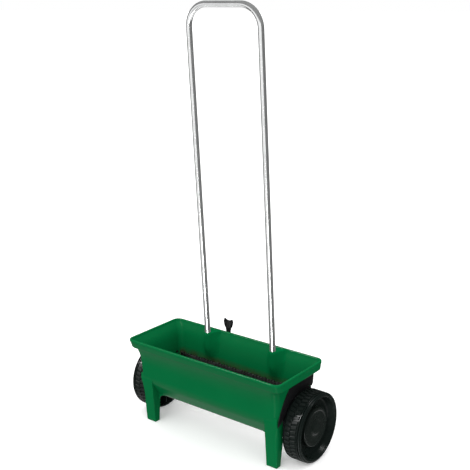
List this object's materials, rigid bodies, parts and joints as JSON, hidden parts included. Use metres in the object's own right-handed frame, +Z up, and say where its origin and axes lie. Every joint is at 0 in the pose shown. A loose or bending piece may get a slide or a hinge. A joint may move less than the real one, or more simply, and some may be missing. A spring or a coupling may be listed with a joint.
{
  "type": "garden drop spreader",
  "caption": "Walk-behind drop spreader with a long open hopper on feet and wheels, a bent tube handle, a turning agitator and a lever-worked shutter.",
  "frame": {"origin": "on the ground, under the middle of the whole object's box", "axes": "+X is the right end of the hopper, +Y is the rear with the handle and the lever, +Z is up"},
  "size_m": [0.577, 0.237, 1.1635],
  "materials": {
    "hopper_plastic": "semi-gloss moulded",
    "trough_plastic": "satin moulded",
    "plate_black": "satin black paint",
    "handle_chrome": "bright plated",
    "zinc_steel": "zinc plated",
    "bush_plastic": "natural nylon",
    "axle_steel": "bright drawn",
    "wheel_plastic": "semi-gloss moulded",
    "hub_cap_plastic": "satin moulded",
    "lever_plastic": "semi-gloss moulded",
    "shutter_steel": "zinc plated"
  },
  "bodies": {
    "hopper": {"hopper": "hopper_plastic", "metering_trough": "trough_plastic", "trough_apron": "trough_plastic", "trough_rear_sheet": "trough_plastic", "trough_cheeks": "trough_plastic", "handle_tube": "handle_chrome", "handle_screws": "zinc_steel", "bearing_plate_left": "plate_black", "bearing_plate_right": "plate_black", "bearing_plate_rivets": "plate_black", "axle_bush_left": "bush_plastic", "axle_bush_right": "bush_plastic", "shutter_rail_front": "plate_black", "shutter_rail_rear": "plate_black", "rail_screws": "zinc_steel", "lever_bracket": "trough_plastic", "lever_bracket_screws": "zinc_steel", "lever_pivot_bolt": "zinc_steel", "lever_pivot_nut": "zinc_steel"},
    "drive_axle": {"drive_axle": "axle_steel", "agitator_rotor": "trough_plastic", "rotor_pins": "zinc_steel", "wheel_right": "wheel_plastic", "hub_cap_right": "hub_cap_plastic", "wheel_drive_pin": "zinc_steel", "thrust_washers": "zinc_steel", "retaining_clips": "zinc_steel"},
    "idle_wheel": {"wheel_left": "wheel_plastic", "hub_cap_left": "hub_cap_plastic", "idle_wheel_bush": "bush_plastic"},
    "lever": {"control_lever": "lever_plastic"},
    "shutter": {"shutter_plate": "shutter_steel"}
  },
  "joints": [
    {"name": "drive_axle_spin", "type": "hinge", "parent": "hopper", "child": "drive_axle", "pos_m": [0, 0.0245, 0.094], "axis": [1, 0, 0], "continuous": true},
    {"name": "idle_wheel_spin", "type": "hinge", "parent": "hopper", "child": "idle_wheel", "pos_m": [-0.2623, 0.0245, 0.094], "axis": [1, 0, 0], "continuous": true},
    {"name": "lever_swing", "type": "hinge", "parent": "hopper", "child": "lever", "pos_m": [-0.069, 0.104, 0.1], "axis": [0, 1, 0], "range_deg": [-11.7, 11.7]},
    {"name": "shutter_slide", "type": "slide", "parent": "hopper", "child": "shutter", "axis": [1, 0, 0], "range_m": [-0.0091, 0.0091]}
  ],
  "couplings": [
    {"joint": "shutter_slide", "follows": "lever_swing", "m_per_rad": -0.0439}
  ]
}
